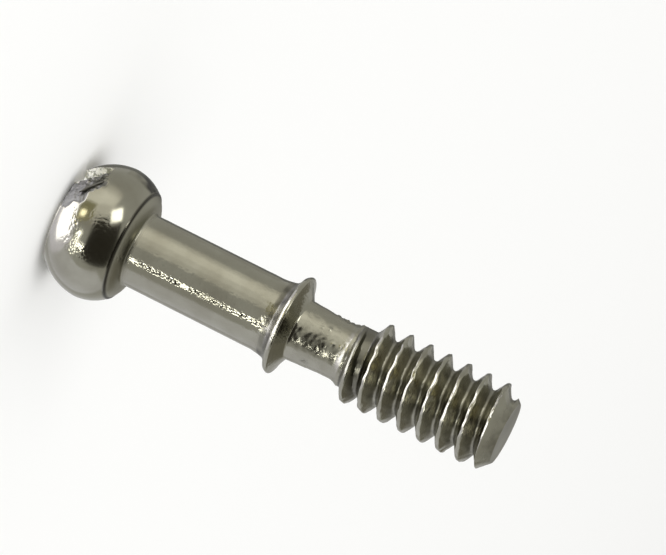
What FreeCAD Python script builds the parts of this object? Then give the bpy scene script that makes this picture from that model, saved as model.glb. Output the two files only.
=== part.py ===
"""Connector screw: a slotted captive screw, cold formed in one piece of plated steel.

A barrel-shaped slotted head, a smooth shank, a thin captive collar, a reduced neck and
a right-hand rolled thread with a chamfered end. Sizes are in millimetres. The screw
stands on the flat of its head: the origin is the middle of that flat, +Z runs along the
axis to the threaded end, and the driver slot runs along Y.
"""

import FreeCAD, Part
import math
import os
from FreeCAD import Vector

# Head: a barrel with a flat top, a crisp edge where the barrel ends and a domed underside
HEAD_DIAMETER = 4.17
HEAD_FLAT_DIAMETER = 3.06
HEAD_CROWN_LENGTH = 1.24
HEAD_SKIRT_LENGTH = 0.88
HEAD_SKIRT_DIAMETER = 3.45
HEAD_UNDERSIDE_LENGTH = 0.24
CROWN_BULGE = 0.134
SKIRT_BULGE = 0.08
UNDERSIDE_BULGE = 0.05

# Driver slot: sawn straight across the head
SLOT_WIDTH = 0.78
SLOT_DEPTH = 0.82

# Shank: the smooth part that turns in the connector, swollen a little below the collar
SHANK_DIAMETER = 2.28
SHANK_LENGTH = 4.73
SHANK_SWELL_DIAMETER = 2.42
SHANK_SWELL_LENGTH = 0.45

# Collar: a thin upset ring with a round rim, steeper on the side of the thread
COLLAR_DIAMETER = 3.12
COLLAR_BASE_WIDTH = 0.64
COLLAR_RIM_WIDTH = 0.12
COLLAR_RIM_FROM_HEAD_SIDE = 0.24
COLLAR_HOLLOW = 0.025

# Neck: the unthreaded stretch between the collar and the thread, a little tapered
NECK_DIAMETER_AT_COLLAR = 1.90
NECK_DIAMETER = 1.76
NECK_TAPER_LENGTH = 1.00
NECK_LENGTH = 1.77
NECK_RISE_LENGTH = 0.20

# Thread: number 4, 40 turns to the inch, right hand
THREAD_DIAMETER = 2.72
THREAD_PITCH = 25.4 / 40
THREAD_LENGTH = 5.00
THREAD_FLANK_ANGLE = 60.0
THREAD_CREST_SHARE = 1 / 8
THREAD_ROOT_SHARE = 1 / 6
THREAD_START_ANGLE = 231.0
THREAD_RUN_IN_TURNS = 0.5
TIP_DIAMETER = 1.92
TIP_CHAMFER_ANGLE = 45.0

# How far a helical ridge reaches into the core, so that the two become one solid
RIDGE_ROOTING = 0.04

# The ridge is drawn in stretches of this many turns, each a set of ruled faces
STRETCH_TURNS = 0.5

# Radii and heights that follow from the sizes above
HEAD_RADIUS = HEAD_DIAMETER / 2
SHANK_RADIUS = SHANK_DIAMETER / 2
NECK_RADIUS = NECK_DIAMETER / 2
THREAD_RADIUS = THREAD_DIAMETER / 2
TIP_RADIUS = TIP_DIAMETER / 2

HEAD_HEIGHT = HEAD_CROWN_LENGTH + HEAD_SKIRT_LENGTH + HEAD_UNDERSIDE_LENGTH
COLLAR_Z = HEAD_HEIGHT + SHANK_LENGTH
NECK_Z = COLLAR_Z + COLLAR_BASE_WIDTH
THREAD_Z = NECK_Z + NECK_LENGTH
TIP_Z = THREAD_Z + THREAD_LENGTH

FLANK_SLOPE = math.tan(math.radians(THREAD_FLANK_ANGLE / 2))
CREST_WIDTH = THREAD_PITCH * THREAD_CREST_SHARE
ROOT_WIDTH = THREAD_PITCH * THREAD_ROOT_SHARE
THREAD_DEPTH = (THREAD_PITCH - CREST_WIDTH - ROOT_WIDTH) / 2 / FLANK_SLOPE
ROOT_RADIUS = THREAD_RADIUS - THREAD_DEPTH


class Outline:
    """Half of a turned section, drawn from point to point as (radius, height)."""

    def __init__(self, radius, height):
        self.at = Vector(radius, 0, height)
        self.edges = []

    def line(self, radius, height):
        end = Vector(radius, 0, height)
        self.edges.append(Part.LineSegment(self.at, end).toShape())
        self.at = end
        return self

    def arc(self, radius, height, bulge):
        """An arc that stands out from its chord by bulge, or hollows in if it is negative."""
        end = Vector(radius, 0, height)
        chord = end - self.at
        outward = Vector(chord.z, 0, -chord.x).normalize()
        middle = (self.at + end) * 0.5 + outward * bulge
        self.edges.append(Part.Arc(self.at, middle, end).toShape())
        self.at = end
        return self

    def revolve(self):
        face = Part.Face(Part.Wire(self.edges))
        return face.revolve(Vector(0, 0, 0), Vector(0, 0, 1), 360)


def turned_body():
    """Everything round: the head, shank, collar, neck and the core of the thread."""
    edge_z = HEAD_CROWN_LENGTH + HEAD_SKIRT_LENGTH
    rim_z = COLLAR_Z + COLLAR_RIM_FROM_HEAD_SIDE
    rim_radius = COLLAR_DIAMETER / 2 - COLLAR_RIM_WIDTH / 2
    outline = Outline(0, 0)
    outline.line(HEAD_FLAT_DIAMETER / 2, 0)
    outline.arc(HEAD_RADIUS, HEAD_CROWN_LENGTH, CROWN_BULGE)
    outline.arc(HEAD_SKIRT_DIAMETER / 2, edge_z, SKIRT_BULGE)
    outline.arc(SHANK_RADIUS, HEAD_HEIGHT, UNDERSIDE_BULGE)
    outline.line(SHANK_RADIUS, COLLAR_Z - SHANK_SWELL_LENGTH)
    outline.arc(SHANK_SWELL_DIAMETER / 2, COLLAR_Z, -COLLAR_HOLLOW / 2)
    outline.arc(rim_radius, rim_z, -COLLAR_HOLLOW)
    outline.arc(rim_radius, rim_z + COLLAR_RIM_WIDTH, COLLAR_RIM_WIDTH / 2)
    outline.arc(NECK_DIAMETER_AT_COLLAR / 2, NECK_Z, -COLLAR_HOLLOW)
    outline.line(NECK_RADIUS, NECK_Z + NECK_TAPER_LENGTH)
    outline.line(NECK_RADIUS, THREAD_Z - NECK_RISE_LENGTH)
    outline.line(ROOT_RADIUS, THREAD_Z)
    outline.line(ROOT_RADIUS, TIP_Z)
    outline.line(0, TIP_Z)
    outline.line(0, 0)
    return outline.revolve()


def helix(radius, turns, rise):
    """A right-hand helix that starts on the +X side at height 0, its radius growing by rise."""
    length = THREAD_PITCH * turns
    slant = math.hypot(length, rise)
    cone_angle = math.degrees(math.atan2(rise, length))
    return Part.makeHelix(slant / turns, slant, radius, cone_angle).Edges[0]


def ridge_stretch(crest_radius, turns, rise):
    """The four edges of a stretch of the ridge, from its head side round to its tip side."""
    depth = THREAD_DEPTH + RIDGE_ROOTING
    half_crest = CREST_WIDTH / 2
    half_base = half_crest + depth * FLANK_SLOPE
    base_radius = crest_radius - depth
    section = [
        (base_radius, -half_base),
        (crest_radius, -half_crest),
        (crest_radius, half_crest),
        (base_radius, half_base),
    ]
    edges = []
    for radius, offset in section:
        edge = helix(radius, turns, rise)
        edge.translate(Vector(0, 0, offset))
        edges.append(edge)
    return edges


def end_face(edges, end):
    corners = [edge.Vertexes[end].Point for edge in edges]
    return Part.Face(Part.makePolygon(corners + corners[:1]))


def thread_ridge():
    """The ridge: it rises out of the core over the run-in, then winds to past the tip."""
    stretches = []
    run_in_steps = math.ceil(THREAD_RUN_IN_TURNS / STRETCH_TURNS)
    for number in range(run_in_steps):
        crest = ROOT_RADIUS + THREAD_DEPTH * number / run_in_steps
        turns = THREAD_RUN_IN_TURNS / run_in_steps
        stretches.append((crest, turns, THREAD_DEPTH / run_in_steps))
    full_turns = THREAD_LENGTH / THREAD_PITCH + 1 - THREAD_RUN_IN_TURNS
    stretches += [(THREAD_RADIUS, STRETCH_TURNS, 0)] * math.ceil(full_turns / STRETCH_TURNS)

    faces = []
    turned = 0
    for crest, turns, rise in stretches:
        edges = ridge_stretch(crest, turns, rise)
        for edge in edges:
            edge.rotate(Vector(0, 0, 0), Vector(0, 0, 1), THREAD_START_ANGLE + 360 * turned)
            edge.translate(Vector(0, 0, THREAD_Z + THREAD_PITCH * turned))
        if not faces:
            faces.append(end_face(edges, 0))
        for side, edge in enumerate(edges):
            faces.append(Part.makeRuledSurface(edges[side - 1], edge))
        turned += turns
    faces.append(end_face(edges, -1))

    shell = Part.makeShell(faces)
    shell.sewShape()
    solid = Part.makeSolid(shell)
    if solid.Volume < 0:
        solid.reverse()
    return solid


def past_the_tip():
    """What the chamfer and the flat end face take off the end of the thread."""
    beyond = TIP_Z + 2 * THREAD_PITCH
    reach = THREAD_RADIUS + THREAD_PITCH
    chamfer = (reach - TIP_RADIUS) / math.tan(math.radians(TIP_CHAMFER_ANGLE))
    outline = Outline(0, TIP_Z)
    outline.line(TIP_RADIUS, TIP_Z)
    outline.line(reach, TIP_Z - chamfer)
    outline.line(reach, beyond)
    outline.line(0, beyond)
    outline.line(0, TIP_Z)
    return outline.revolve()


def driver_slot():
    length = 2 * HEAD_DIAMETER
    corner = Vector(-SLOT_WIDTH / 2, -length / 2, -SLOT_DEPTH)
    return Part.makeBox(SLOT_WIDTH, length, 2 * SLOT_DEPTH, corner)


def connector_screw():
    body = turned_body().fuse(thread_ridge())
    body = body.cut(past_the_tip())
    return body.cut(driver_slot()).removeSplitter()


screw = connector_screw()
os.makedirs("parts", exist_ok=True)
screw.exportStep("parts/connector_screw.step")
print("volume in cubic millimetres", round(screw.Volume, 4))
print("solids", len(screw.Solids), "valid", screw.isValid(), "faces", len(screw.Faces))
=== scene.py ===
# %% [markdown]
# # A connector screw
#
# This lesson dresses one small machine part: a slotted captive screw, 14.5 mm long, cold
# formed from a single piece of wire and plated with nickel. The exact solid comes from the
# CAD frame. Here the same screw is modelled again with its worn slot, its rounded thread and
# its pitted neck, it gets a nickel finish, and it is lit so that the metal has something to
# show.

import math

import bmesh
import bpy
from mathutils import Matrix, Vector, noise


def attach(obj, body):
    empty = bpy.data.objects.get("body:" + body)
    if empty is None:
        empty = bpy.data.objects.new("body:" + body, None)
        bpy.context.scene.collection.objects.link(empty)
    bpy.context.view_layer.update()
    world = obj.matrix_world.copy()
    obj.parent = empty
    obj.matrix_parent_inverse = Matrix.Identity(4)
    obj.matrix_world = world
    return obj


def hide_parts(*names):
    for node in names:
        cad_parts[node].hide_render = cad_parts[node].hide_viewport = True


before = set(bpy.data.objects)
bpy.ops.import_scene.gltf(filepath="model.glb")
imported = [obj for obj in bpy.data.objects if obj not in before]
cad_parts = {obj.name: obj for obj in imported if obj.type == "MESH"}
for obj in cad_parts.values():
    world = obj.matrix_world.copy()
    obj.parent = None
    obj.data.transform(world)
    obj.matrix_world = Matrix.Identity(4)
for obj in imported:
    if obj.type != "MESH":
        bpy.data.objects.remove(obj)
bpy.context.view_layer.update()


# %% [markdown]
# ## The camera
#
# The screw stands on its head, because a real one that lies down rolls away. In the picture
# it lies across the frame instead, so the camera is rolled about its own line of sight. It is
# a long lens, close to the part: the far end of the screw is only a little larger than the
# near end. The view could be set by hand, but here it is built from three angles and a
# distance, so that each can be corrected alone.

# %% Camera
MM = 0.001
VIEW_AZIMUTH = 51.0
VIEW_ELEVATION = 11.2
VIEW_ROLL = 116.69
VIEW_DISTANCE = 115.6 * MM
FRAME_WIDTH_PX = 666
LENS_PX = 34.255 * 115.6
SCREW_MIDDLE = 7.25
AIM_LEFT = 1.811
AIM_UP = 0.648


def view_axes(azimuth, elevation):
    """The directions to the right, up and back towards a camera, before it is rolled."""
    a, e = math.radians(azimuth), math.radians(elevation)
    back = Vector((math.sin(a) * math.cos(e), -math.cos(a) * math.cos(e), math.sin(e)))
    right = Vector((math.cos(a), math.sin(a), 0))
    return right, back.cross(right), back


middle = Vector((0, 0, SCREW_MIDDLE * MM))
right, up, back = view_axes(VIEW_AZIMUTH, VIEW_ELEVATION)
eye = middle + back * VIEW_DISTANCE
aim = middle - right * AIM_LEFT * MM + up * AIM_UP * MM
sight = (eye - aim).normalized()
side = up.cross(sight).normalized()
above = sight.cross(side)
roll = math.radians(VIEW_ROLL)
image_x = side * math.cos(roll) + above * math.sin(roll)
image_y = above * math.cos(roll) - side * math.sin(roll)

lens = bpy.data.cameras.new("camera")
lens.sensor_width = 36
lens.lens = LENS_PX * lens.sensor_width / FRAME_WIDTH_PX
lens.clip_start = 10 * MM
camera = bpy.data.objects.new("camera", lens)
rolled = Matrix((image_x, image_y, sight)).transposed().to_4x4()
camera.matrix_world = Matrix.Translation(eye) @ rolled
bpy.context.scene.collection.objects.link(camera)
bpy.context.scene.camera = camera
bpy.context.scene.view_settings.view_transform = "Standard"
print("lens in mm:", round(lens.lens, 1))

# %% [markdown]
# ## Colours and nodes
#
# A colour is written as the hex value that a picture shows and turned to the linear value that
# the shaders count in. One small function adds any shader node, sets it and links it, so that
# each material below reads as a list of what is done to the surface.

# %% Helpers for materials


def colour(hex_value):
    """An sRGB hex value as the linear colour that a shader takes."""
    parts = [int(hex_value[i : i + 2], 16) / 255 for i in (1, 3, 5)]
    return [p / 12.92 if p <= 0.04045 else ((p + 0.055) / 1.055) ** 2.4 for p in parts] + [1]


def node(tree, kind, links=(), **settings):
    """Adds a node of a kind; links are (its input, another node's output)."""
    new = tree.nodes.new("ShaderNode" + kind)
    for name, value in settings.items():
        if name.startswith("in_"):
            socket = name[3:].replace("_", " ")
            new.inputs[int(socket) if socket.isdigit() else socket].default_value = value
        else:
            setattr(new, name, value)
    for socket, source in links:
        tree.links.new(source, new.inputs[socket])
    return new


def empty_material(name):
    """A material without nodes, and the tree that they go into."""
    material = bpy.data.materials.new(name)
    material.use_nodes = True
    material.node_tree.nodes.clear()
    return material, material.node_tree


print("mid grey is", round(colour("#808080")[0], 3), "in linear light")

# %% [markdown]
# ## Floor and soft light
#
# The floor is a sheet of white paper, and its colour alone makes the pale background, so it
# keeps the soft shadow at the screw's head. Even light comes from all round, and one wide
# lamp stands high on the camera's side, which throws the shadow behind the screw.

# %% Floor
bpy.ops.object.select_all(action="DESELECT")
FLOOR_SIZE = 4
FLOOR_Z = -0.02 * MM
bpy.ops.mesh.primitive_plane_add(size=FLOOR_SIZE, location=(0, 0, FLOOR_Z))
floor = bpy.context.object
floor.name = "floor"
paper, tree = empty_material("white_paper")
shine = node(tree, "BsdfPrincipled", in_Base_Color=colour("#f7f7f5"), in_Roughness=0.9)
node(tree, "OutputMaterial", [("Surface", shine.outputs[0])])
floor.data.materials.append(paper)
floor.visible_glossy = False
print("floor:", FLOOR_SIZE, "m square")

# %% Even light from all round
ROOM_LIGHT = 0.62
room = bpy.data.worlds.new("room")
room.use_nodes = True
room.node_tree.nodes.clear()
sky = node(room.node_tree, "Background", in_Color=colour("#ffffff"), in_Strength=ROOM_LIGHT)
node(room.node_tree, "OutputWorld", [("Surface", sky.outputs[0])])
bpy.context.scene.world = room
print("room light:", ROOM_LIGHT)

# %% Helpers: places round the screw


def around(azimuth, elevation):
    """A direction from the screw: azimuth 0 is the camera's side, and it grows towards
    the side of the screw that is uppermost in the picture."""
    a = math.radians(VIEW_AZIMUTH - azimuth)
    e = math.radians(elevation)
    return Vector((math.sin(a) * math.cos(e), -math.cos(a) * math.cos(e), math.sin(e)))


def facing(direction, distance):
    """The placing of a flat thing that faces the screw's middle from a direction."""
    turn = direction.to_track_quat("Z", "Y").to_matrix().to_4x4()
    return Matrix.Translation(middle + direction * distance) @ turn


# %% The wide lamp: metres and watts
SOFTBOX_SIZE = 0.9
SOFTBOX_POWER = 8.3
SOFTBOX_DISTANCE = 1.2
SOFTBOX_SIDE, SOFTBOX_HEIGHT = 4, 74
softbox = bpy.data.lights.new("softbox", "AREA")
softbox.size = SOFTBOX_SIZE
softbox.energy = SOFTBOX_POWER
softbox_lamp = bpy.data.objects.new("softbox", softbox)
softbox_lamp.matrix_world = facing(around(SOFTBOX_SIDE, SOFTBOX_HEIGHT), SOFTBOX_DISTANCE)
softbox_lamp.visible_glossy = False
bpy.context.scene.collection.objects.link(softbox_lamp)
print("lamp:", SOFTBOX_POWER, "W at", SOFTBOX_DISTANCE, "m")

# %% [markdown]
# ## Something for the metal to show
#
# Polished metal has hardly any colour of its own: it shows the room. A product photographer
# stands white and black cards round it, and so does this scene. Each card is far away,
# faces the screw and is seen only in reflections: the camera looks past it, and it throws no
# light on the floor and no shadow. The cards could be painted on the sky instead, but as
# separate things each one can be moved until its reflection lies where it should.

# %% Cards
# Each row gives azimuth, elevation, width and height in degrees, colour, strength and
# distance in metres, and for a card that stands on a corner its turn in degrees.
NEAREST, NEARER, NEAR, MIDDLE, FAR = 0.4, 0.45, 0.5, 0.6, 0.7
CARDS = {
    "table_side": (-103, -20, 64, 110, "#f0f1fd", 1.1, FAR),
    "window_glow": (43, -24, 70, 80, "#fffdfa", 0.95, FAR),
    "window_core": (47, -24, 46, 80, "#fffdfa", 1.15, MIDDLE),
    "window_heart": (52, -24, 22, 80, "#fffdfa", 1.4, NEAR),
    "window_sill": (42, -38, 46, 30, "#fffdfa", 1.4, NEAR),
    "strip_lamp": (-38.5, -17, 3, 18, "#ffffff", 20.0, NEAR),
    "low_lamp": (-36, -32, 34, 5, "#ffffff", 8.0, NEAR),
    "dark_card": (-21, 31, 80, 70, "#3e3c37", 1.0, MIDDLE),
    "window_pane": (38, 31, 22, 24, "#ffffff", 5.0, NEAR, 45),
    "lamp_glow": (20, -43, 32, 34, "#e6e0b8", 0.62, NEARER),
    "small_lamp": (15, -44, 9, 11, "#fff8dc", 5.0, NEAREST),
    "door_glow": (4, -84, 84, 66, "#e6e5fa", 1.7, MIDDLE),
    "bright_door": (4, -76, 58, 38, "#ededff", 5.5, NEAR),
    "dim_ceiling": (190, 50, 50, 56, "#8f8c82", 1.0, MIDDLE),
    "dark_wall": (158, -8, 28, 44, "#8f8f8c", 0.85, NEAR),
    "back_wall": (157, 1, 68, 34, "#f7f6f2", 0.56, FAR),
}


def card(name, azimuth, elevation, width, height, hex_value, strength, distance, turn=0):
    """A glowing card, seen only in reflections; its sizes are the angles that it fills."""
    direction = around(azimuth, elevation)
    bpy.ops.mesh.primitive_plane_add(size=1)
    piece = bpy.context.object
    piece.name = name
    reach = 2 * distance
    spread = [reach * math.tan(math.radians(angle / 2)) for angle in (width, height)]
    turned = facing(direction, distance) @ Matrix.Rotation(math.radians(turn), 4, "Z")
    piece.matrix_world = turned @ Matrix.Diagonal((*spread, 1, 1))
    material, tree = empty_material(name)
    glow = node(tree, "Emission", in_Color=colour(hex_value), in_Strength=strength)
    node(tree, "OutputMaterial", [("Surface", glow.outputs[0])])
    piece.data.materials.append(material)
    piece.visible_camera = False
    piece.visible_diffuse = False
    piece.visible_shadow = False


for name, settings in CARDS.items():
    card(name, *settings)
print(len(CARDS), "cards")

# %% [markdown]
# ## The turned blank
#
# A heading machine presses the wire into a head, a collar and a neck, all round the same
# axis. So the blank is drawn as half of its outline, point by point, and spun once round. A
# cylinder could be scaled ring by ring instead, but an outline keeps the sizes readable: they
# are the CAD's own, in millimetres, and the finished mesh is shrunk to metres at the end.

# %% Sizes in millimetres, as in the CAD
HEAD_RADIUS = 4.17 / 2
HEAD_FLAT_RADIUS = 3.06 / 2
CROWN_END = 1.24
SKIRT_RADIUS = 3.45 / 2
SKIRT_END = 2.12
SHANK_RADIUS = 2.28 / 2
HEAD_END = 2.36
COLLAR_Z = 7.09
NECK_Z = COLLAR_Z + 0.64
THREAD_Z = 9.50
TIP_Z = 14.50
THREAD_RADIUS = 2.72 / 2
THREAD_PITCH = 25.4 / 40
THREAD_DEPTH = THREAD_PITCH * (1 - 1 / 8 - 1 / 6) / 2 / math.tan(math.radians(30))
ROOT_RADIUS = THREAD_RADIUS - THREAD_DEPTH
NECK_RADIUS = 1.76 / 2
TIP_RADIUS = 1.92 / 2
SPIN_STEPS = 168
MERGE_WITHIN = 0.0005
print("screw:", TIP_Z, "mm long, thread root", round(2 * ROOT_RADIUS, 3), "mm across")

# %% Helpers for drawing an outline


def arc(start, end, bulge, steps):
    """Points of an arc from start, left out, to end; it stands out from its chord by bulge."""
    start, end = Vector(start), Vector(end)
    if bulge == 0:
        return [start.lerp(end, i / steps) for i in range(1, steps + 1)]
    chord = end - start
    outward = Vector((chord.y, -chord.x)).normalized()
    radius = (chord.length**2 / 4 + bulge**2) / (2 * abs(bulge))
    centre = (start + end) / 2 + outward * (bulge - math.copysign(radius, bulge))
    first = math.atan2(*(start - centre).yx)
    sweep = math.remainder(math.atan2(*(end - centre).yx) - first, math.tau)
    angles = [first + sweep * i / steps for i in range(1, steps + 1)]
    return [centre + radius * Vector((math.cos(a), math.sin(a))) for a in angles]


def outline(start, *runs):
    """A chain of (radius, height) points; a run is (radius, height, bulge, steps)."""
    points = [Vector(start)]
    for radius, height, bulge, steps in runs:
        points += arc(points[-1], (radius, height), bulge, steps)
    return points


def draw(name, points):
    """A new object whose mesh is a chain of edges, drawn by extruding one vertex."""
    bpy.ops.object.select_all(action="DESELECT")
    bpy.ops.mesh.primitive_plane_add(size=1)
    piece = bpy.context.object
    piece.name = name
    bpy.ops.object.mode_set(mode="EDIT")
    bpy.ops.mesh.select_mode(type="VERT")
    bpy.ops.mesh.merge(type="CENTER")
    bpy.ops.transform.translate(value=(points[0].x, 0, points[0].y))
    for here, there in zip(points, points[1:]):
        step = there - here
        bpy.ops.mesh.extrude_region_move(TRANSFORM_OT_translate={"value": (step.x, 0, step.y)})
    return piece


def close_seams():
    """Merges vertices that lie on each other, in edit mode, and turns all faces outwards."""
    bpy.ops.mesh.select_all(action="SELECT")
    bpy.ops.mesh.remove_doubles(threshold=MERGE_WITHIN)
    bpy.ops.mesh.normals_make_consistent(inside=False)
    bpy.ops.object.mode_set(mode="OBJECT")


def spin_round():
    """Spins the outline that was just drawn once round the screw's axis."""
    bpy.ops.mesh.select_all(action="SELECT")
    bpy.ops.mesh.spin(steps=SPIN_STEPS, angle=math.tau, center=(0, 0, 0), axis=(0, 0, 1))
    close_seams()


# %% Draw and spin the blank
# From the head's flat up to the root of the thread, with each real edge a little rounded.
blank_outline = outline(
    (0, 0),
    (HEAD_FLAT_RADIUS - 0.04, 0, 0, 18),
    (HEAD_FLAT_RADIUS + 0.02, 0.035, 0.012, 4),
    (HEAD_RADIUS, CROWN_END, 0.132, 36),
    (SKIRT_RADIUS + 0.02, SKIRT_END - 0.025, 0.078, 26),
    (SKIRT_RADIUS - 0.05, SKIRT_END + 0.025, 0.018, 4),
    (SHANK_RADIUS + 0.05, HEAD_END - 0.01, 0.045, 10),
    (SHANK_RADIUS, HEAD_END + 0.05, -0.012, 4),
    (SHANK_RADIUS, COLLAR_Z - 0.45, 0, 40),
    (1.21, COLLAR_Z, -0.012, 10),
    (1.48, COLLAR_Z + 0.20, -0.03, 10),
    (1.55, COLLAR_Z + 0.31, 0.008, 5),
    (1.51, COLLAR_Z + 0.375, 0.016, 5),
    (0.98, NECK_Z - 0.03, -0.02, 12),
    (0.945, NECK_Z + 0.03, -0.006, 3),
    (NECK_RADIUS, NECK_Z + 1.0, 0, 30),
    (NECK_RADIUS, THREAD_Z - 0.30, 0, 14),
    (ROOT_RADIUS, THREAD_Z - 0.09, -0.008, 7),
    (ROOT_RADIUS, THREAD_Z - 0.07, 0, 1),
)
blank = draw("connector_screw_body", blank_outline)
spin_round()
print("blank:", len(blank.data.polygons), "faces")

# %% [markdown]
# ## The thread
#
# The thread is rolled: two dies press a groove into the wire and the metal flows up between
# them, so crest and root are rounded and a bright line runs along the crest. One tooth is
# drawn as an open outline, exactly one pitch long, and the Screw modifier winds it up the
# axis, where each turn meets the next. A row of stacked rings would look alike from afar, but
# rings are no thread.

# %% The section of one tooth
FLANK = math.tan(math.radians(30))
CREST_SOFTNESS = 0.02
ROOT_SOFTNESS = 0.09
CREST_LEAN = 0.5
HIGHEST_AT = 0.012


def soft_clamp(radius):
    """The radius held between root and crest, with its two corners rounded."""
    over = max(CREST_SOFTNESS - abs(radius - THREAD_RADIUS), 0) ** 2 / (4 * CREST_SOFTNESS)
    under = max(ROOT_SOFTNESS - abs(radius - ROOT_RADIUS), 0) ** 2 / (4 * ROOT_SOFTNESS)
    return min(max(radius, ROOT_RADIUS), THREAD_RADIUS) - over + under


def tooth_radius(offset):
    """The worn crest leans: its side towards the head is the lower one."""
    leaning_crest = THREAD_RADIUS - CREST_LEAN * max(HIGHEST_AT - offset, 0)
    flank = soft_clamp(THREAD_RADIUS - (abs(offset) - THREAD_PITCH / 16) / FLANK)
    return max(min(flank, leaning_crest), ROOT_RADIUS)


by_the_crest = [0.012, 0.026, 0.036, 0.044, 0.054, 0.07]
down_the_flank = [0.115, 0.15, 0.185, 0.215, 0.235, 0.25, 0.265, 0.285]
one_side = by_the_crest + down_the_flank + [THREAD_PITCH / 2]
offsets = [-offset for offset in reversed(one_side)] + [0] + one_side
print("tooth:", len(offsets), "points over one pitch of", THREAD_PITCH, "mm")

# %% One tooth, drawn along a single pitch and turned to where the thread starts
THREAD_START = 231.0
tooth_z = THREAD_Z - THREAD_PITCH
section = [Vector((tooth_radius(offset), tooth_z + offset)) for offset in offsets]
tooth = draw("tooth", section)
bpy.ops.mesh.select_all(action="SELECT")
bpy.ops.transform.rotate(
    value=-math.radians(THREAD_START), orient_axis="Z", center_override=(0, 0, 0)
)
bpy.ops.object.mode_set(mode="OBJECT")
first = tooth.data.vertices[0].co
print("tooth starts at", round(math.degrees(math.atan2(first.y, first.x)) % 360, 2), "degrees")

# %% Wind it up
TURNS = 10
winding = tooth.modifiers.new("winding", "SCREW")
winding.axis = "Z"
winding.angle = math.tau
winding.screw_offset = THREAD_PITCH
winding.iterations = TURNS
winding.steps = winding.render_steps = SPIN_STEPS
bpy.ops.object.modifier_apply(modifier=winding.name)
bpy.ops.object.mode_set(mode="EDIT")
bpy.ops.mesh.select_all(action="SELECT")
bpy.ops.mesh.remove_doubles(threshold=MERGE_WITHIN)
bpy.ops.object.mode_set(mode="OBJECT")
thread_top = max(vertex.co.z for vertex in tooth.data.vertices)
print("thread:", len(tooth.data.polygons), "faces, top at", round(thread_top, 3))

# %% [markdown]
# The dies open gradually, so the ridge does not begin at full height. It grows out of the
# core over half a turn, which is done here by sinking each vertex of the first turn.

# %% The run-in
RUN_IN_TURNS = 0.5


def axis_distance(place):
    return math.hypot(place.x, place.y)


def part_of_turn(place):
    """How far round the axis a place lies from the thread's start, as a part of a turn."""
    return (math.degrees(math.atan2(place.y, place.x)) - THREAD_START) / 360 % 1


def move_to_radius(vertex, radius):
    """Moves a vertex straight out or in to a distance from the axis."""
    x, y = vertex.co.xy
    now = math.hypot(x, y)
    vertex.co.x, vertex.co.y = x * radius / now, y * radius / now


for vertex in tooth.data.vertices:
    part_turn = part_of_turn(vertex.co)
    turns = round((vertex.co.z - tooth_z) / THREAD_PITCH - part_turn) + part_turn - 1
    grown = min(max(turns / RUN_IN_TURNS, 0), 1)
    radius = axis_distance(vertex.co)
    sunk = max(radius - THREAD_DEPTH * (1 - grown), min(ROOT_RADIUS, radius))
    move_to_radius(vertex, sunk)
print("run-in over", RUN_IN_TURNS, "turn")

# %% [markdown]
# ## One skin
#
# The thread's skin is cut level at both ends. The lower cut is bridged to the blank's open
# end, so that the screw is one closed skin, as the real one is one piece.

# %% Cut the thread level and bridge it to the blank


def cut_level(height, direction, fill):
    """Cuts the mesh in edit mode at a height and clears what lies beyond, along direction."""
    bpy.ops.mesh.select_all(action="SELECT")
    bpy.ops.mesh.bisect(
        plane_co=(0, 0, height),
        plane_no=(0, 0, direction),
        use_fill=fill,
        clear_outer=True,
        threshold=1e-5,
    )


bpy.ops.object.mode_set(mode="EDIT")
cut_level(THREAD_Z - 0.04, -1, False)
cut_level(TIP_Z, 1, True)
bpy.ops.object.mode_set(mode="OBJECT")
bpy.ops.object.select_all(action="DESELECT")
tooth.select_set(True)
blank.select_set(True)
bpy.context.view_layer.objects.active = blank
bpy.ops.object.join()
bpy.ops.object.mode_set(mode="EDIT")
bpy.ops.mesh.select_all(action="DESELECT")
bpy.ops.mesh.select_mode(type="EDGE")
bpy.ops.mesh.select_non_manifold(
    extend=False, use_wire=False, use_multi_face=False, use_non_contiguous=False
)
bpy.ops.mesh.bridge_edge_loops()
close_seams()


def open_edges(piece):
    """How many edges do not join exactly two faces."""
    mesh = bmesh.new()
    mesh.from_mesh(piece.data)
    count = sum(len(edge.link_faces) != 2 for edge in mesh.edges)
    mesh.free()
    return count


print("one skin:", len(blank.data.polygons), "faces,", open_edges(blank), "open edges")

# %% [markdown]
# ## Chamfer and slot
#
# The end is turned to a chamfer, so that the screw finds its hole, and the slot is sawn
# across the head. Both take metal away, so both are cut with a Boolean: a ring for the
# chamfer, and a bar for the saw.

# %% Helper: cut one piece out of another


def cut_away(piece, tool):
    """Takes the tool's shape out of the piece, and then the tool away."""
    bpy.ops.object.select_all(action="DESELECT")
    bpy.context.view_layer.objects.active = piece
    piece.select_set(True)
    cut = piece.modifiers.new("cut", "BOOLEAN")
    cut.operation = "DIFFERENCE"
    cut.solver = "EXACT"
    cut.object = tool
    bpy.ops.object.modifier_apply(modifier=cut.name)
    bpy.data.objects.remove(tool, do_unlink=True)
    faces = len(piece.data.polygons)
    print(piece.name, "now has", faces, "faces,", open_edges(piece), "open edges")


# %% Chamfer
RING_OVERLAP = 0.05
RING_RADIUS = THREAD_RADIUS + 0.3
ring_corner = Vector((TIP_RADIUS - RING_OVERLAP, TIP_Z + RING_OVERLAP))
ring_outline = [
    ring_corner,
    Vector((RING_RADIUS, TIP_Z - (RING_RADIUS - TIP_RADIUS))),
    Vector((RING_RADIUS, TIP_Z + RING_OVERLAP)),
    ring_corner,
]
ring = draw("chamfer_tool", ring_outline)
spin_round()
cut_away(blank, ring)

# %% [markdown]
# The chamfer's burr is pressed down into the last groove, so that crest, chamfer and end face
# run into one plain face there. The groove's vertices are moved out to the chamfer's cone.

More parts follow.
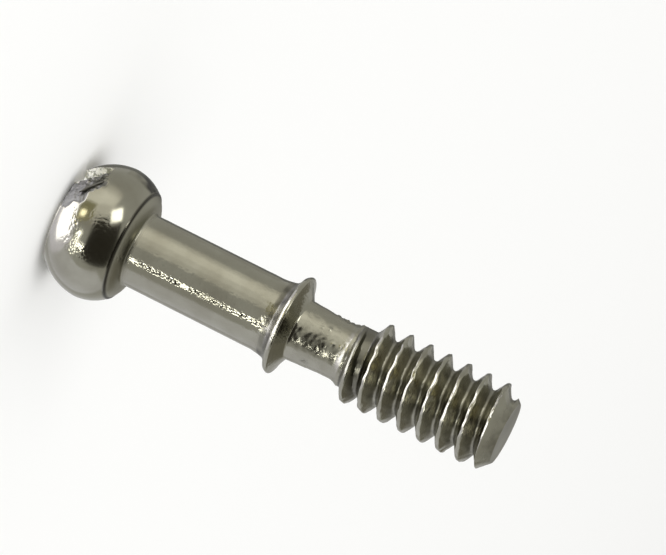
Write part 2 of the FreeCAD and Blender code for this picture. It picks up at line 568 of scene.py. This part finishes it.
# %% Close the last groove
LAST_TURN = 7
CLOSING_FROM = 0.05
CLOSING_OVER = 0.09
moved_out = 0
for vertex in blank.data.vertices:
    z = vertex.co.z
    radius = axis_distance(vertex.co)
    part_turn = part_of_turn(vertex.co)
    crest_z = THREAD_Z + THREAD_PITCH * (LAST_TURN + part_turn)
    cone_radius = TIP_RADIUS + TIP_Z - z
    if crest_z < z < TIP_Z - 0.001 and radius > TIP_RADIUS - 0.02:
        closed = min(max((part_turn - CLOSING_FROM) / CLOSING_OVER, 0), 1)
        move_to_radius(vertex, radius + closed * max(cone_radius - radius, 0))
        moved_out += 1
print("last groove:", moved_out, "vertices on the cone")

# %% Slot
SLOT_HALF = 0.39
SLOT_DEPTH = 0.82
SAW_LENGTH = 6
SAW_OVERRUN = 0.5
bpy.ops.object.select_all(action="DESELECT")
bpy.ops.mesh.primitive_cube_add(
    size=1,
    location=(0, 0, (SLOT_DEPTH - SAW_OVERRUN) / 2),
    scale=(2 * SLOT_HALF, SAW_LENGTH, SLOT_DEPTH + SAW_OVERRUN),
)
saw = bpy.context.object
saw.name = "saw_tool"
bpy.ops.object.transform_apply(location=True, rotation=True, scale=True)
cut_away(blank, saw)

# %% [markdown]
# ## Wear
#
# A driver that slips out of the slot mashes the metal beside it: at the nearer end a dull
# patch is pressed in, a ridge is pushed up beside it, and a folded burr hangs into the slot.
# The patch is dented by moving vertices, because it follows no plane, and needs a finer mesh
# there. Ridge and burr stand clear of the head, so they are rough beads, sunk into it.

# %% Where the patch lies: a row of balls, each with its centre and radius
MASHED = (
    (0.60, -1.62, 0.22, 0.27),
    (0.85, -1.50, 0.25, 0.28),
    (1.00, -1.30, 0.16, 0.24),
    (1.00, -1.60, 0.48, 0.20),
    (0.66, -1.78, 0.58, 0.20),
    (0.42, -1.90, 0.70, 0.20),
    (0.10, -2.00, 0.84, 0.16),
    (0.45, -1.52, 0.02, 0.20),
    (0.78, -1.30, 0.02, 0.20),
    (0.44, -1.99, 0.90, 0.12),
    (0.57, -1.94, 0.78, 0.12),
    (0.70, -1.85, 0.64, 0.12),
    (0.84, -1.76, 0.50, 0.12),
)


def smooth(value, low, high):
    """0 below low, 1 above high, and a soft rise between them."""
    t = min(max((value - low) / (high - low), 0), 1)
    return t * t * (3 - 2 * t)


def mashed(place, margin=0):
    """1 inside the patch, 0 outside; its edge is ragged, and a margin widens it."""
    ragged = 0.05 * noise.noise(place * 9)
    inside = max(radius - (place - Vector((x, y, z))).length for x, y, z, radius in MASHED)
    return smooth(inside + ragged + margin, -0.04, 0.04)


print("mashed patch:", len(MASHED), "balls")

# %% Refine the mesh there and dent it
DENT_DEPTH = 0.025
DENT_LUMPS = 0.03
bpy.ops.object.mode_set(mode="EDIT")
bpy.ops.mesh.select_mode(type="FACE")
bpy.ops.mesh.select_all(action="DESELECT")
bpy.ops.object.mode_set(mode="OBJECT")
for face in blank.data.polygons:
    x, y, z = face.center
    face.select = 0.4 < x < 1.45 and y < -0.8 and z < 0.95 and len(face.vertices) <= 4
bpy.ops.object.mode_set(mode="EDIT")
bpy.ops.mesh.subdivide(number_cuts=2)
bpy.ops.object.mode_set(mode="OBJECT")


def outward_at(place):
    """The direction straight away from the axis."""
    return Vector((place.x, place.y, 0)).normalized()


for vertex in blank.data.vertices:
    x, y, z = vertex.co
    if x > SLOT_HALF + 0.005 and y < -0.8 and 0.001 < z < 1.1:
        lumps = noise.noise(vertex.co * 6) + 0.6 * noise.noise(vertex.co * 15)
        depth = DENT_DEPTH + DENT_LUMPS * lumps
        vertex.co -= outward_at(vertex.co) * mashed(vertex.co) * depth
print("after the dent:", len(blank.data.polygons), "faces,", open_edges(blank), "open edges")

# %% Ridge and burr


def bead(name, start, end, thickness, roughness):
    """A rough bead of metal from start to end, half sunk into the head."""
    start, end = Vector(start), Vector(end)
    bpy.ops.object.select_all(action="DESELECT")
    bpy.ops.mesh.primitive_ico_sphere_add(subdivisions=4, radius=1)
    piece = bpy.context.object
    piece.name = name
    along = (end - start).to_track_quat("Z", "Y").to_matrix().to_4x4()
    size = Matrix.Diagonal((thickness, thickness, (end - start).length / 2, 1))
    piece.data.transform(Matrix.Translation((start + end) / 2) @ along @ size)
    for vertex in piece.data.vertices:
        lumps = noise.noise(vertex.co * 7) + 0.7 * noise.noise(vertex.co * 17)
        vertex.co += vertex.normal * roughness * lumps
    piece.data.update()
    blank.select_set(True)
    bpy.context.view_layer.objects.active = blank
    bpy.ops.object.join()
    print(name, "joined:", len(blank.data.polygons), "faces,", open_edges(blank), "open edges")


head_vertices = len(blank.data.vertices)
bead("ridge", (0.36, -2.005, 0.86), (0.93, -1.665, 0.39), 0.055, 0.015)
bead("burr", (0.50, -1.88, 0.60), (-0.09, -2.0, 0.88), 0.085, 0.05)
bead("fold", (0.42, -1.74, 0.34), (0.30, -1.98, 0.74), 0.06, 0.04)

# %% [markdown]
# ## Dents and pits
#
# The neck was squeezed the most, so it is dented all round, and so are the thread and, less,
# the shank. These shallow dents are made with Displace modifiers that a vertex group limits
# to those stretches. Painting them by sculpting would do too, but would not repeat exactly.

# %% Which stretches were squeezed
squeezed = blank.vertex_groups.new(name="squeezed")
for vertex in blank.data.vertices:
    z = vertex.co.z
    neck = smooth(z, NECK_Z, NECK_Z + 0.3) * (1 - smooth(z, THREAD_Z - 0.05, THREAD_Z + 0.25))
    above_head = smooth(z, HEAD_END, HEAD_END + 0.3)
    below_collar = 1 - smooth(z, COLLAR_Z - 0.1, COLLAR_Z + 0.1)
    shank = above_head * (0.2 + 0.3 * smooth(z, 5.6, 6.6)) * below_collar
    thread = 0.9 * smooth(z, THREAD_Z, THREAD_Z + 0.3) * (1 - smooth(z, TIP_Z - 0.1, TIP_Z))
    if axis_distance(vertex.co) < 1.4 and neck + shank + thread > 0:
        squeezed.add([vertex.index], neck + shank + thread, "REPLACE")

# %% Shallow dents


def dents(size, depth):
    """Displaces the squeezed stretches by a noise; both sizes are in millimetres."""
    texture = bpy.data.textures.new("dents", "CLOUDS")
    texture.noise_scale = size
    bpy.ops.object.select_all(action="DESELECT")
    bpy.context.view_layer.objects.active = blank
    blank.select_set(True)
    press = blank.modifiers.new("press", "DISPLACE")
    press.texture = texture
    press.texture_coords = "LOCAL"
    press.vertex_group = squeezed.name
    press.strength = depth
    press.mid_level = 0.5
    bpy.ops.object.modifier_apply(modifier=press.name)
    print("dented by", depth, "mm")


dents(0.30, 0.025)
dents(0.10, 0.008)

# %% [markdown]
# Rolled crests are never quite even. They wander a little along the axis, which shows as
# kinks in the bright line, and on one side they were rubbed blunt. Both are small moves of
# the vertices near the crest, made in code, because no modifier knows where the crest is.

# %% Kinked and blunted crests
KINK = 0.04
BLUNTING = 0.03
BLUNT_SIDE = 51
for vertex in blank.data.vertices:
    if THREAD_Z < vertex.co.z < TIP_Z - 0.45:
        radius = axis_distance(vertex.co)
        near_crest = smooth(radius, ROOT_RADIUS + 0.1, THREAD_RADIUS)
        vertex.co.z += KINK * near_crest * noise.noise(vertex.co * 3.5)
        off_side = math.atan2(vertex.co.y, vertex.co.x) - math.radians(BLUNT_SIDE)
        blunt = BLUNTING * smooth(math.cos(off_side), 0.5, 0.95)
        over = radius - (THREAD_RADIUS - 2 * blunt)
        if over > 0:
            worn = 1 - over / 2 / radius
            vertex.co.x, vertex.co.y = vertex.co.x * worn, vertex.co.y * worn
print("crests wander by up to", KINK, "mm")

# %% [markdown]
# The neck also has pits and, beside them, small flakes that stand up. They lie where the
# wire was gripped, so they are set one by one and not strewn by a texture. Finer grain comes
# with the finish.

# %% Pits and flakes: angle in degrees, height, radius and depth; a flake has a negative depth
PITS = (
    (330, 8.12, 0.05, 0.006),
    (322, 8.25, 0.07, 0.006),
    (332, 8.39, 0.05, 0.008),
    (320, 8.45, 0.07, 0.008),
    (338, 8.57, 0.07, 0.012),
    (345, 8.67, 0.05, 0.014),
    (314, 8.66, 0.05, 0.008),
    (327, 8.76, 0.06, 0.010),
    (247, 8.95, 0.08, 0.03),
    (228, 9.30, 0.06, 0.03),
    (190, 8.60, 0.06, 0.03),
    (140, 8.45, 0.08, 0.03),
    (98, 9.20, 0.06, 0.03),
    (60, 8.85, 0.07, 0.035),
    (18, 8.35, 0.07, 0.03),
    (296, 8.43, 0.06, -0.02),
    (293, 8.66, 0.06, -0.02),
    (316, 8.96, 0.06, -0.02),
    (314, 9.22, 0.06, -0.02),
    (330, 9.24, 0.05, -0.02),
    (257, 8.75, 0.06, -0.025),
    (254, 9.10, 0.08, -0.025),
    (232, 8.60, 0.06, -0.030),
    (229, 8.76, 0.05, -0.025),
    (236, 8.90, 0.07, -0.035),
    (228, 9.07, 0.05, -0.030),
    (233, 9.24, 0.09, -0.030),
    (240, 9.37, 0.05, -0.025),
)


print(len(PITS), "pits and flakes")

# %% Press them in


def pitted(place):
    """The depth of the pits at a place, and how dark the painted shade in the pits and in the
    cracks round them is.
    """
    angle = math.degrees(math.atan2(place.y, place.x))
    depth = grime_and_shade = 0
    for pit_angle, pit_z, pit_radius, pit_depth in PITS:
        sideways = math.remainder(angle - pit_angle, 360) * math.radians(1) * NECK_RADIUS
        away = math.hypot(sideways, place.z - pit_z) + 0.05 * noise.noise(place * 18)
        inside = 1 - smooth(away, 0.2 * pit_radius, 1.2 * pit_radius)
        depth += pit_depth * inside
        if pit_depth > 0:
            grime_and_shade = max(grime_and_shade, 1 - smooth(away, pit_radius, 2.5 * pit_radius))
    # The painted shade in the pits is broken into thin dark crack lines.
    crack = 1 - smooth(abs(noise.noise(place * 7)), 0.02, 0.16)
    return depth, grime_and_shade * (0.25 + 0.75 * crack)


def on_neck(place):
    return NECK_Z + 0.2 < place.z < THREAD_Z and axis_distance(place) < 1.1


for vertex in blank.data.vertices:
    if on_neck(vertex.co):
        vertex.co -= outward_at(vertex.co) * pitted(vertex.co)[0]
print("after the pits:", open_edges(blank), "open edges")

# %% [markdown]
# ## Marks for the finish
#
# Where the plate is dull, grimy, painted with shade or pebbled follows the wear and the shape,
# so it is written on the mesh as an attribute: one number for each in the red, green and blue
# of a colour. The green one is grime and painted shade in creases, roots, pits and on one side
# of the head. A mask painted by hand would do the same, but here the marks stay with the
# shapes that they belong to. The slot's sawn walls are marked face by face, because their edge
# is sharp.

# %% Where the plate looks pebbled: a line along the shank and a chain across the head
SCORED_SIDE = 341
CHAIN = (
    Vector((1.27, -1.40, 0.50)),
    Vector((1.42, -1.29, 0.54)),
    Vector((1.57, -1.20, 0.69)),
    Vector((1.70, -1.12, 0.86)),
    Vector((1.81, -0.98, 0.97)),
    Vector((1.92, -0.77, 1.01)),
    Vector((1.99, -0.53, 0.98)),
)
DARK_PATCH = Vector((1.75, -1.0, 1.15))
CLEAN_SPOT = Vector((1.42, -1.45, 0.85))


def off_chain(place):
    """How far a place lies from the scored line on the head."""
    nearest = 1
    for start, end in zip(CHAIN, CHAIN[1:]):
        along = min(max((place - start).dot(end - start) / (end - start).length_squared, 0), 1)
        nearest = min(nearest, (place - start.lerp(end, along)).length)
    return nearest


def pebbled(place):
    """How strongly the plate's grain shows: most where the wire was scored, along one line of
    the shank and one of the head."""
    if place.z > NECK_Z:
        return 0.1
    if place.z > SKIRT_END:
        angle = math.degrees(math.atan2(place.y, place.x))
        off_line = math.remainder(angle - SCORED_SIDE, 360)
        clumps = 0.15 + 0.8 * smooth(noise.noise(place * 3.7), -0.15, 0.2)
        scored = (1 - smooth(abs(off_line), 1.5, 5)) * clumps
        beside_line = 1 - smooth(abs(off_line + 14), 8, 16)
        grazed = 0.22 * beside_line * (0.6 + noise.noise(place * 2.3))
        return 0.06 + scored + max(grazed, 0) + 0.12 * smooth(place.z, 6, 7)
    chain = 1 - smooth(off_chain(place), 0.01, 0.05)
    away = (place - DARK_PATCH).length
    around_patch = 0.34 * smooth(away, 0.25, 0.45) * (1 - smooth(away, 0.7, 0.85))
    around_patch *= smooth((place - CLEAN_SPOT).length, 0.14, 0.3)
    return 0.02 + max(chain, around_patch)


print("chain:", len(CHAIN), "points")

# %% How dull each part is, and how dark its grime and painted shade make it


def thread_dullness_and_shade(place):
    """Painted shade darkens the roots and flanks in blotches, and the first groove evenly; the
    roots are also duller.
    """
    blotches = 0.2 + 0.5 * noise.noise(place * 3.5) + 0.3 * noise.noise(place * 9)
    in_root = 1 - smooth(axis_distance(place), ROOT_RADIUS + 0.05, THREAD_RADIUS - 0.03)
    first_groove = 0.45 * (1 - smooth(place.z, THREAD_Z + 0.55, THREAD_Z + 0.85))
    return 0.5 * in_root, (0.06 + max(0.7 * blotches, first_groove)) * in_root


def rim_shade(place):
    """A mottled band of painted shade on one side of the head, between two angles of its
    skirt.
    """
    angle = math.degrees(math.atan2(place.y, place.x)) % 360
    stained = smooth(angle, 205, 228) * (1 - smooth(angle, 248, 260))
    stained *= smooth(place.z, 1.35, 1.75)
    return max(stained * (0.9 + 1.2 * noise.noise(place * 5)), 0)


def soil_and_shade(place):
    """How dull the plate is at a place, and how dark its grime and painted shade make it."""
    # Painted shade in a band round the corner where the shank meets the collar, which is
    # duller there too.
    if COLLAR_Z - 0.2 < place.z < COLLAR_Z + 0.2:
        dull = 0.5 * (1 - smooth(abs(place.z - COLLAR_Z), 0.12, 0.2))
        return dull, dull * (0.95 + noise.noise(place * 4))
    if place.z > THREAD_Z:
        return thread_dullness_and_shade(place)
    if on_neck(place):
        return 0.35, 0.6 * pitted(place)[1]
    # Painted shade: a dark line in the crease at the head's edge, where the underside also
    # turns duller.
    if SKIRT_END - 0.05 < place.z < HEAD_END + 0.08:
        edge_crease_shade = 0.9 * (1 - smooth(abs(place.z - SKIRT_END - 0.01), 0.02, 0.05))
        return 0.6 * smooth(place.z, SKIRT_END - 0.01, SKIRT_END + 0.01), edge_crease_shade
    near_patch = place.x > 0.2 and place.y < -0.8 and place.z < 1
    dull = mashed(place, 0.04) if near_patch else 0
    on_skirt = 1.3 < place.z <= SKIRT_END - 0.05 and place.x < 0 and place.y < 0
    return dull, rim_shade(place) if on_skirt else 0


# %% Write the marks; ridge and burr, which come after the head's vertices, are all dull
marks = blank.data.attributes.new("wear_and_shade", "FLOAT_COLOR", "POINT")
for index, vertex in enumerate(blank.data.vertices):
    dull, grime_and_shade = soil_and_shade(vertex.co)
    if index >= head_vertices:
        dull = 1
    marks.data[index].color = (dull, grime_and_shade, pebbled(vertex.co), 1)
print("marked", len(marks.data), "vertices")

# %% Mark the slot's sawn walls and bottom
sawn = blank.data.attributes.new("sawn", "FLOAT", "FACE")
for index, face in enumerate(blank.data.polygons):
    wall = abs(face.normal.x) > 0.98 and abs(abs(face.center.x) - SLOT_HALF) < 0.003
    bottom = face.normal.z < -0.98 and abs(face.center.z - SLOT_DEPTH) < 0.003
    sawn.data[index].value = float(wall or bottom)
print("sawn faces:", sum(mark.value > 0 for mark in sawn.data))

# %% [markdown]
# ## Shrink to metres and shade
#
# The model is shrunk about the frame's origin in edit mode, so that its object stays unturned
# and unscaled. Shading is smooth except across real edges, such as those of slot and flat.
# The chamfer meets the rounded crests at less than the angle that counts as an edge, so its
# border is marked sharp in code.

# %% Shrink and shade
SHARP_ANGLE = 32
bpy.ops.object.mode_set(mode="EDIT")
bpy.ops.mesh.select_mode(type="VERT")
bpy.ops.mesh.select_all(action="SELECT")
bpy.ops.transform.resize(value=(MM, MM, MM), center_override=(0, 0, 0))
bpy.ops.object.mode_set(mode="OBJECT")
blank.vertex_groups.clear()
bpy.ops.object.shade_smooth_by_angle(angle=math.radians(SHARP_ANGLE))
blank.data.calc_loop_triangles()
print(len(blank.data.loop_triangles), "triangles")

# %% Sharpen the chamfer's border
CHAMFER_FROM = 13.9
chamfered = set()
for face in blank.data.polygons:
    if face.center.z > CHAMFER_FROM * MM and abs(face.normal.z - math.sqrt(0.5)) < 0.03:
        chamfered.add(face.index)
shell = bmesh.new()
shell.from_mesh(blank.data)
for edge in shell.edges:
    on_chamfer = [face.index in chamfered for face in edge.link_faces]
    if len(on_chamfer) == 2 and sum(on_chamfer) == 1:
        edge.smooth = False
shell.to_mesh(blank.data)
shell.free()
print(len(chamfered), "chamfer faces")

# %% [markdown]
# ## Nickel plate
#
# Electroplated nickel over cold-formed steel. Nickel is a warm white metal, and a plate that
# has been handled goes a little olive. Shade is painted dark into the thread's roots, the
# creases and the pits, and the sawn slot is painted near white as a highlight. It is smooth
# enough to show the room, but its fine grain breaks a lamp's reflection into sparkles.

# %% Helpers for the finish
nickel, tree = empty_material("nickel_plate_electroplated")
where = node(tree, "TexCoord").outputs["Object"]


def grain(size_mm, detail=3, roughness=0.5):
    """Noise whose lumps are about this many millimetres wide."""
    lumps = node(
        tree,
        "TexNoise",
        [("Vector", where)],
        in_Scale=1 / (size_mm * MM),
        in_Detail=detail,
        in_Roughness=roughness,
    )
    return lumps.outputs["Fac"]


def spread_out(value, low, high, to_low=0.0, to_high=1.0):
    """Stretches what lies between low and high over a new range."""
    link = [("Value", value)]
    return node(
        tree, "MapRange", link, in_1=low, in_2=high, in_3=to_low, in_4=to_high
    ).outputs[0]


def mix(share, first, second):
    """Goes from first to second by a share; each is a hex colour, a grey or an output."""
    blend = node(tree, "MixRGB", [(0, share)])
    for socket, value in (("Color1", first), ("Color2", second)):
        if isinstance(value, str):
            blend.inputs[socket].default_value = colour(value)
        elif isinstance(value, float):
            blend.inputs[socket].default_value = (value, value, value, 1)
        else:
            tree.links.new(value, blend.inputs[socket])
    return blend.outputs[0]


wear_and_shade = node(tree, "Attribute", attribute_name="wear_and_shade")
# The green mark is grime and painted shade: creases, pits, the thread's roots and one side of
# the head are painted darker.
dull, grime_and_shade, pebbles = node(tree, "SeparateColor", [("Color", wear_and_shade.outputs["Color"])]).outputs
slot_walls = node(tree, "Attribute", attribute_name="sawn").outputs["Fac"]
print("marks read:", wear_and_shade.attribute_name)

# %% Colour: clouded warm white, grey where it is mashed, black grime and painted shade, torn metal in the slot painted near white as a highlight
cloud = grain(0.9)
plate = mix(spread_out(cloud, 0.35, 0.68), "#9d9b8a", "#918e7d")
battered = mix(spread_out(dull, 0.65, 1.0), plate, "#6d6c64")
# Painted shade and grime darken the plate towards black.
grimed_and_shaded = mix(grime_and_shade, battered, "#34322a")
veins = spread_out(grain(0.16, roughness=0.6), 0.42, 0.5)
# The sawn walls are torn metal with grey veins, coloured near white so that they shine
# brighter than the plate: partly a painted highlight.
torn_metal_highlight = mix(veins, "#a8a795", "#fffdee")
tone = mix(slot_walls, grimed_and_shaded, torn_metal_highlight)
print("colour in", len(tree.nodes), "nodes")

# %% Polish: mirror-like, with a breath of haze, and satin where it is dull
polish = spread_out(cloud, 0.3, 0.7, 0.12, 0.2)
dulled = mix(dull, polish, 0.5)
rough = mix(slot_walls, dulled, 0.3)
print("polish in", len(tree.nodes), "nodes")

# %% Fine relief: small domes where the plate is pebbled, chips in the slot
DOME_WIDTH = 0.1
DOME_HEIGHT = 0.018
CHIP_HEIGHT = 0.035
domes = node(tree, "TexVoronoi", [("Vector", where)], in_Scale=1 / (DOME_WIDTH * MM))
apart = domes.outputs["Distance"]
rounded = node(tree, "Math", [(0, apart), (1, apart)], operation="MULTIPLY")
pebbled_skin = node(
    tree,
    "Bump",
    [("Height", rounded.outputs[0]), ("Strength", pebbles)],
    in_Distance=DOME_HEIGHT * MM,
    invert=True,
)
chips = grain(0.13, detail=4, roughness=0.7)
skin = node(
    tree,
    "Bump",
    [("Height", chips), ("Strength", slot_walls), ("Normal", pebbled_skin.outputs[0])],
    in_Distance=CHIP_HEIGHT * MM,
)
print("relief in", len(tree.nodes), "nodes")

# %% Put the finish on
metal = node(
    tree,
    "BsdfPrincipled",
    [("Base Color", tone), ("Roughness", rough), ("Normal", skin.outputs[0])],
    in_Metallic=1.0,
)
node(tree, "OutputMaterial", [("Surface", metal.outputs[0])])
blank.data.materials.clear()
blank.data.materials.append(nickel)
print("finish:", nickel.name)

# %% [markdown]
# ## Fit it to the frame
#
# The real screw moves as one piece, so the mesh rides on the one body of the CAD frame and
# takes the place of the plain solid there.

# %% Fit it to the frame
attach(blank, "root")
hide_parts("connector_screw")
